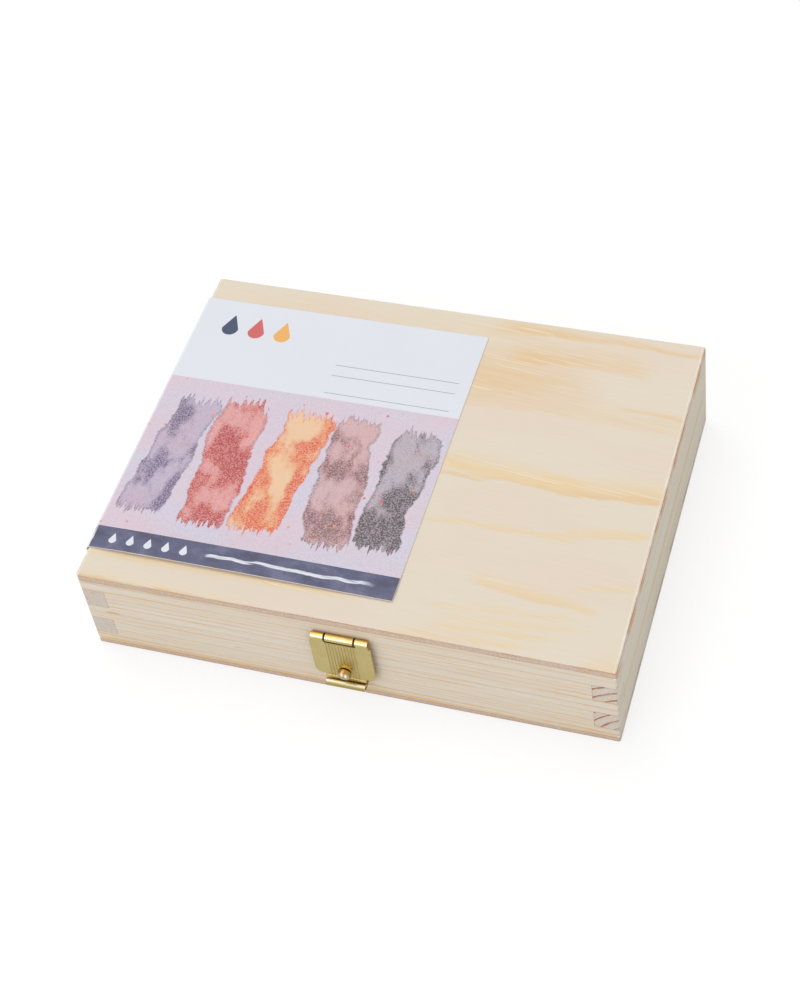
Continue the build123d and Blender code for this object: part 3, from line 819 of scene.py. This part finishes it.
def settle(piece, sharp_angle=40):
    """Turns a piece's modifiers into its own mesh, with its corners crisp."""
    graph = bpy.context.evaluated_depsgraph_get()
    mesh = bpy.data.meshes.new_from_object(piece.evaluated_get(graph))
    mesh.shade_smooth()
    mesh.set_sharp_from_angle(angle=math.radians(sharp_angle))
    piece.modifiers.clear()
    piece.data = mesh


def join_frame(piece, body, stands_for):
    """Puts a finished piece on its CAD body and in place of its CAD node."""
    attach(piece, body)
    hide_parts(stands_for)


def soft_step(value, low, high):
    share = min(max((value - low) / (high - low), 0), 1)
    return share * share * (3 - 2 * share)


def make_card():
    """The card: flat on the lid, folded down over the left side, its front edge curling up."""
    thick = 0.35
    curl = 1.0
    curl_reach = 26
    flap_steps = 8
    fold_steps = 8
    top_steps = 48
    rows = 54
    below_top = 0.03
    middle_x = card_low.x + card_fold
    middle_z = card_high.z - below_top - card_fold
    flap_step = (middle_z - card_low.z) / flap_steps
    top_step = (card_high.x - middle_x) / top_steps
    line = [(card_low.x, card_low.z + step * flap_step) for step in range(flap_steps)]
    for step in range(fold_steps + 1):
        angle = math.pi / 2 * step / fold_steps
        line.append((middle_x - card_fold * math.cos(angle), middle_z + card_fold * math.sin(angle)))
    line += [(middle_x + step * top_step, middle_z + card_fold) for step in range(1, top_steps + 1)]
    spots = []
    for row in range(rows + 1):
        y = card_low.y + (card_high.y - card_low.y) * row / rows
        near_front = soft_step(card_low.y + curl_reach - y, 0, curl_reach)
        for x, z in line:
            free = soft_step(x, middle_x - 1, middle_x + 14)
            held = 1 - 0.6 * soft_step(x, -40, card_high.x)
            lift = curl * near_front ** 1.8 * (0.3 + 0.7 * free) * held
            lift *= soft_step(z, middle_z, middle_z + card_fold)
            lift += 0.05 * free * noise.noise(Vector((x, y, 0)) * 0.05)
            spots.append((x * mm, y * mm, (z + lift) * mm))
    faces = []
    for row in range(rows):
        for column in range(len(line) - 1):
            corner = row * len(line) + column
            faces.append((corner, corner + 1, corner + len(line) + 1, corner + len(line)))
    mesh = bpy.data.meshes.new("printed_card")
    mesh.from_pydata(spots, [], faces)
    mesh.materials.append(printed_card())
    mesh.materials.append(plain_card())
    mesh.shade_smooth()
    card = new_object("printed_card", mesh)
    sheet = card.modifiers.new("card thickness", "SOLIDIFY")
    sheet.thickness = thick * mm
    sheet.offset = -1
    sheet.material_offset = 1
    sheet.material_offset_rim = 1
    settle(card)
    join_frame(card, "lid", "label_card")


make_card()


# Paint tubes, whose nozzles are at their low Y and whose crimped ends are at their high Y
tube_low, tube_high = (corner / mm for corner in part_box("paint_tube_1"))
tube_radius = (tube_high.z - tube_low.z) / 2
tube_z = (tube_high.z + tube_low.z) / 2
crimp_half = (tube_high.x - tube_low.x) / 2
crimp_y = tube_high.y - 8
shoulder_y = crimp_y - 76
flat_start_y = shoulder_y + 22
pigments = ((150, 132, 178), (198, 74, 88), (230, 118, 62), (232, 178, 76), (116, 98, 100))


def tube_finish(number, pigment):
    """Lacquered aluminium: white sleeve with a band of its paint's colour, bare at both ends."""
    material, shader, place, _ = new_material(f"Tube {number}, lacquered")
    along = split(place)[1]
    blotch = cloud(place, (0.15, 0.15, 0.15), 61 + number, detail=3)
    paint = shade(*pigment)
    sleeve = blend(blotch, shade(240, 240, 238), shade(232, 232, 231))
    for low, high, tone in ((shoulder_y + 8, shoulder_y + 24, paint),
                            (shoulder_y + 26, shoulder_y + 26.6, slate_grey),
                            (crimp_y - 12, crimp_y - 4, paint)):
        sleeve = blend(is_inside(along, low, high), sleeve, tone)
    lacquered = is_inside(along, shoulder_y + 0.6, crimp_y - 0.5)
    colour = blend(lacquered, shade(205, 206, 208), sleeve)
    rough = between(blotch, *noise_middle, 0.26, 0.38)
    crease = cloud(place, (0.25, 0.12, 0.4), 71 + number, detail=2)
    finish_material(shader, colour, rough, crease, 0.25, metal=minus(1, lacquered))
    return material


def loft(name, rings):
    """A smooth closed skin over rings of equally many points, in millimetres."""
    count = len(rings[0])
    spots = [tuple(part * mm for part in spot) for ring in rings for spot in ring]
    faces = []
    for row in range(len(rings) - 1):
        for step in range(count):
            following = (step + 1) % count
            first = row * count
            second = first + count
            faces.append((first + step, first + following, second + following, second + step))
    faces.append(tuple(reversed(range(count))))
    faces.append(tuple(range(len(spots) - count, len(spots))))
    mesh = bpy.data.meshes.new(name)
    mesh.from_pydata(spots, [], faces)
    mesh.shade_smooth()
    return mesh


def make_tube(number):
    """A filled tube: nozzle, shoulder, round body that flattens, and a folded, crimped end."""
    low, high = (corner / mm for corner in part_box(f"paint_tube_{number}"))
    x = (low.x + high.x) / 2
    neck = 4.6
    body_half = tube_radius - 0.12
    # Each ring's Y, half width, half height and squareness, which is 2 for a round one
    profile = [(y, half, half, 2) for y, half in (
        (tube_low.y, neck - 0.5), (tube_low.y + 0.3, neck), (shoulder_y - 3.6, neck),
        (shoulder_y - 3.4, neck + 0.4), (shoulder_y - 0.8, tube_radius - 0.7),
        (shoulder_y - 0.3, tube_radius - 0.1), (shoulder_y + 0.3, tube_radius),
        (shoulder_y + 0.8, body_half))]
    body_start = shoulder_y + 1.2
    steps = 40
    for step in range(steps + 1):
        y = body_start + (crimp_y - body_start) * step / steps
        flat = max(0, (y - flat_start_y) / (crimp_y - flat_start_y)) ** 1.15
        half_width = body_half * (1 - flat) + (crimp_half - 0.05) * flat
        half_height = body_half * (1 - flat) + 0.8 * flat
        profile.append((y, half_width, half_height, 2 + 0.6 * flat))
    for ahead, half_height in ((0.15, 0.98), (2.6, 1.0), (2.85, 0.8), (3.1, 1.0), (5.2, 1.0),
                               (5.45, 0.8), (5.7, 1.0), (7.7, 1.0), (8.0, 0.7)):
        profile.append((crimp_y + ahead, crimp_half - 0.02, half_height, 7))
    rings = []
    around = 72
    for y, half_width, half_height, square in profile:
        ring = []
        for step in range(around):
            angle = 2 * math.pi * step / around
            across, upward = (math.copysign(abs(part) ** (2 / square), part)
                              for part in (math.cos(angle), math.sin(angle)))
            dent = 0
            if shoulder_y + 3 < y < crimp_y - 1:
                dent = 0.35 * abs(noise.noise(Vector((angle * 1.3, y * 0.06, number * 9.1))))
                dent *= min(half_height / tube_radius, 1)
            ring.append((x + across * (half_width - dent), y, tube_z + upward * (half_height - dent)))
        rings.append(ring)
    mesh = loft(f"tube_{number}", rings)
    mesh.materials.append(tube_finish(number, pigments[number - 1]))
    join_frame(new_object(f"tube_{number}", mesh), "base", f"paint_tube_{number}")


for tube_number in range(1, 6):
    make_tube(tube_number)


def cap_plastic():
    """Black moulded polypropylene with a fine spark texture."""
    material, shader, place, _ = new_material("Cap plastic, black")
    spark = cloud(place, (6, 6, 6), 81, detail=3)
    colour = blend(between(spark, *noise_middle), shade(34, 34, 36), shade(44, 44, 46))
    finish_material(shader, colour, between(spark, *noise_middle, 0.4, 0.52), spark, 0.015)
    return material


# Finishes of the CAD's own pieces
def dress(material, *names):
    """Gives CAD nodes a material in place of their plain one."""
    for name in names:
        slots = nodes[name].data.materials
        slots.clear()
        slots.append(material)


warm_early = shade(228, 220, 207)
grey_early = shade(222, 218, 205)
warm_end = shade(221, 213, 202)
grey_end = shade(218, 210, 199)
pale_end = shade(232, 224, 212)
front_pine = pine_board("Pine, front boards", "X", (-34, -22), 2.6, front_lines, (1.3, 10, 100),
                        warm_early, pale_end, 1.0, front_flecks)
back_pine = pine_board("Pine, back boards", "X", (60, 90), 2.6, back_lines, (-1, -60, 60),
                       warm_early, pale_end, 0.6)
right_pine = pine_board("Pine, right boards", "Y", (112, -4), 3.7, right_lines, (-2.6, -70, 30),
                        grey_early, warm_end, 1.7)
left_pine = pine_board("Pine, left boards", "Y", (-60, 140), 1.5, left_lines, (0.8, -50, 60),
                       grey_early, grey_end, 0.3, left_flecks)
divider_pine = pine_board("Pine, dividers", "Y", (30, 60), 2.2, (), (0, 0, 1), warm_early, warm_end, 1)
for where, pine in (("front", front_pine), ("back", back_pine),
                    ("right", right_pine), ("left", left_pine)):
    dress(pine, f"base_{where}_board", f"lid_{where}_board")
dress(divider_pine, *[f"divider_{number}" for number in range(1, 5)])
lid_ply = plywood("Plywood, lid", lid_ply_bottom, 1.15, 3.6, 0.6, shade(208, 148, 88),
                  tan_bands, straw_bands_and_card_shadow)
bottom_ply = plywood("Plywood, bottom", 0, 0.5, 2.75, 0.2, shade(182, 164, 144), (), ())
dress(lid_ply, "lid_panel")
dress(bottom_ply, "bottom_panel")

dress(cap_plastic(), *[f"cap_{number}" for number in range(1, 6)])
front_brass = brass("Brass sheet, latch", -1, sheet_painted_light, 0.38, 0.5, 0.15, tongue_top)
lip_brass = brass("Brass sheet, catch", -1, lip_painted_light, 0.34, 0.44, 0.15)
back_brass = brass("Brass sheet, hinges", 1, hinge_painted_light, 0.38, 0.5, 0.15)
screw_brass = brass("Brass, screws", 1, hinge_painted_light, 0.24, 0.34, 0.1)
dress(front_brass, "hasp_plate", "latch_leaf", "latch_screws", "catch_screws")
dress(lip_brass, "catch_plate")
dress(back_brass, "base_hinge_leaf_left", "base_hinge_leaf_right",
      "lid_hinge_leaf_left", "lid_hinge_leaf_right")
dress(screw_brass, "hinge_pin_left", "hinge_pin_right", "base_hinge_screws", "lid_hinge_screws")
dress(knob_brass(), "hasp_knob")
dress(tarnished_and_shaded_brass(), "latch_pin")


# Room: floor, light and camera
def seen_directly(tree):
    """1 where the camera, or the camera in a reflection or through glass, sees the surface."""
    ray = add(tree, "ShaderNodeLightPath").outputs
    return larger(ray["Is Camera Ray"], ray["Is Glossy Ray"], ray["Is Transmission Ray"])


def make_floor():
    """A pale floor that the camera sees as white, with the soft shadow of the box on it."""
    mesh = bpy.data.meshes.new("floor")
    reach = 6.0
    below_box = 0.05
    pale = (0.84, 0.84, 0.84, 1)
    seen_grey = (0.28, 0.28, 0.28, 1)
    seen_glow = (0.75, 0.75, 0.75, 1)
    corners = [(-reach, -reach, 0), (reach, -reach, 0), (reach, reach, 0), (-reach, reach, 0)]
    mesh.from_pydata(corners, [], [(0, 1, 2, 3)])
    floor = new_object("floor", mesh)
    floor.location.z = -below_box * mm
    material, shader, _, _ = new_material("Floor, pale")
    ray = seen_directly(material.node_tree)
    give(shader.inputs["Base Color"], blend(ray, pale, seen_grey))
    shader.inputs["Roughness"].default_value = 0.9
    shader.inputs["Specular IOR Level"].default_value = 0
    give(shader.inputs["Emission Color"], blend(ray, (0, 0, 0, 1), seen_glow))
    shader.inputs["Emission Strength"].default_value = 1
    mesh.materials.append(material)


def make_light():
    """A white room, a broad lamp high at the back left and one at the front left."""
    world = bpy.data.worlds.new("white room")
    bpy.context.scene.world = world
    world.use_nodes = True
    tree = world.node_tree
    background = tree.nodes["Background"]
    room = 0.62
    level = blend(seen_directly(tree), (room, room, room, 1), (1, 1, 1, 1))
    give(background.inputs["Color"], level)
    lamps = (("high lamp", (-0.3, 0.3, 0.9), 0.84, 40), ("front lamp", (-0.4, -0.75, 0.55), 0.69, 50))
    for name, toward, energy, spread in lamps:
        lamp = bpy.data.lights.new(name, "SUN")
        lamp.energy = energy
        lamp.angle = math.radians(spread)
        holder = new_object(name, lamp)
        holder.rotation_mode = "QUATERNION"
        holder.rotation_quaternion = Vector(toward).to_track_quat("Z", "Y")


def make_camera():
    """The photograph's viewpoint, worked out from the lines of the box's outline."""
    azimuth = math.radians(22.767)
    elevation = math.radians(46.432)
    roll = math.radians(-8.586)
    distance = 0.880965
    target = Vector((-0.024618, 0.095597, 0))
    # In pixels of the photograph, whose height is the longer side that the sensor's width spans
    picture_width = 800
    picture_height = 1000
    focal_length = 2104.036
    principal_right = 420.8
    principal_down = 340.8
    back = Vector((math.sin(azimuth) * math.cos(elevation),
                   -math.cos(azimuth) * math.cos(elevation), math.sin(elevation)))
    right = Vector((math.cos(azimuth), math.sin(azimuth), 0))
    up = back.cross(right)
    rolled_right = math.cos(roll) * right + math.sin(roll) * up
    rolled_up = math.cos(roll) * up - math.sin(roll) * right
    camera = bpy.data.cameras.new("camera")
    camera.sensor_width = 36
    camera.lens = focal_length * camera.sensor_width / picture_height
    camera.shift_x = (picture_width / 2 - principal_right) / picture_height
    camera.shift_y = (principal_down - picture_height / 2) / picture_height
    holder = new_object("camera", camera)
    turn = Matrix((rolled_right, rolled_up, back)).transposed().to_4x4()
    holder.matrix_world = Matrix.Translation(target + back * distance) @ turn
    bpy.context.scene.camera = holder


make_floor()
make_light()
make_camera()
bpy.context.scene.view_settings.view_transform = "Standard"
